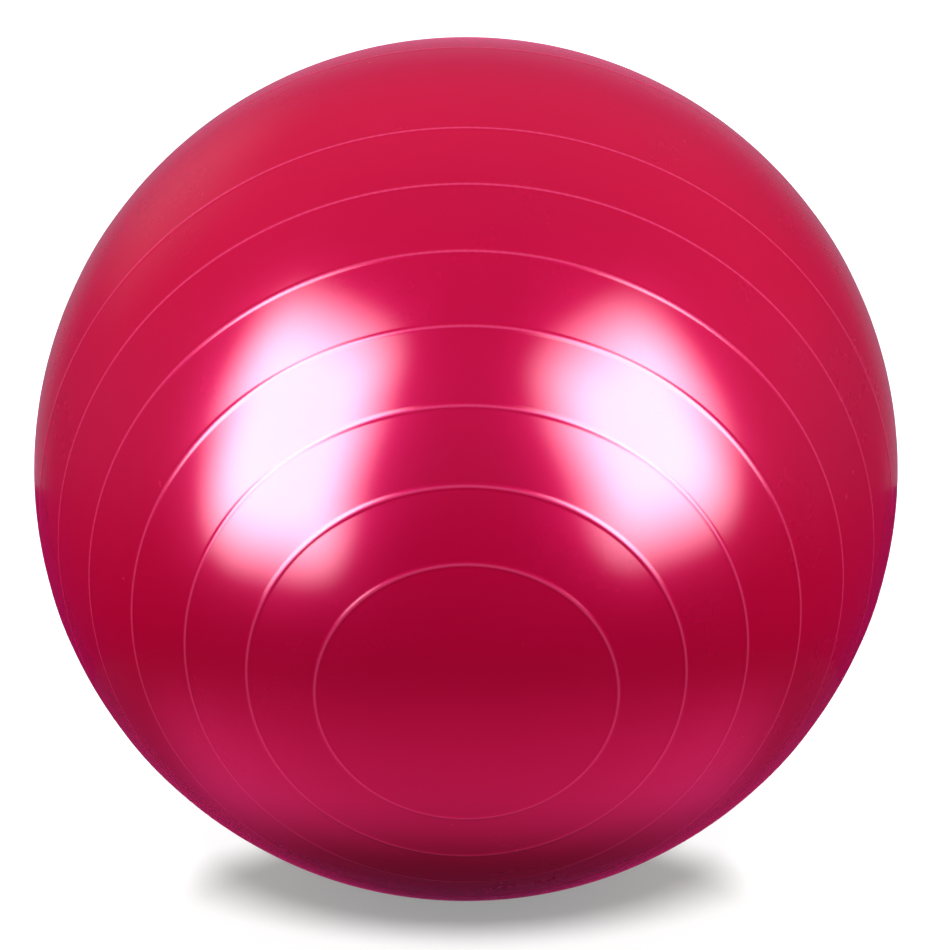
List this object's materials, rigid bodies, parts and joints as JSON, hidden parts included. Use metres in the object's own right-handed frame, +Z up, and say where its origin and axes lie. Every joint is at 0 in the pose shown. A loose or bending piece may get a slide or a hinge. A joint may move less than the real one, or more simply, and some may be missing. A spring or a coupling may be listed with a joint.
{
  "type": "exercise ball",
  "caption": "Inflated round exercise ball with thin raised concentric rings, a small floor flat, and a push-in valve plug that pulls out at the back.",
  "frame": {"origin": "middle of the flat on which the ball rests on the floor", "axes": "+Z up; the valve's axis lies in the YZ plane, and runs from the ball's middle backwards and up, 21 degrees above +Y"},
  "size_m": [0.6514, 0.65, 0.6489],
  "materials": {
    "ball_skin": "satin",
    "valve_seat": "satin",
    "valve_plug": "satin"
  },
  "bodies": {
    "ball": {"ball_skin": "ball_skin", "valve_seat": "valve_seat"},
    "plug": {"valve_plug": "valve_plug"}
  },
  "joints": [
    {"name": "plug_pull", "type": "slide", "parent": "ball", "child": "plug", "axis": [0, 0.9336, 0.3584], "range_m": [0, 0.03]}
  ]
}
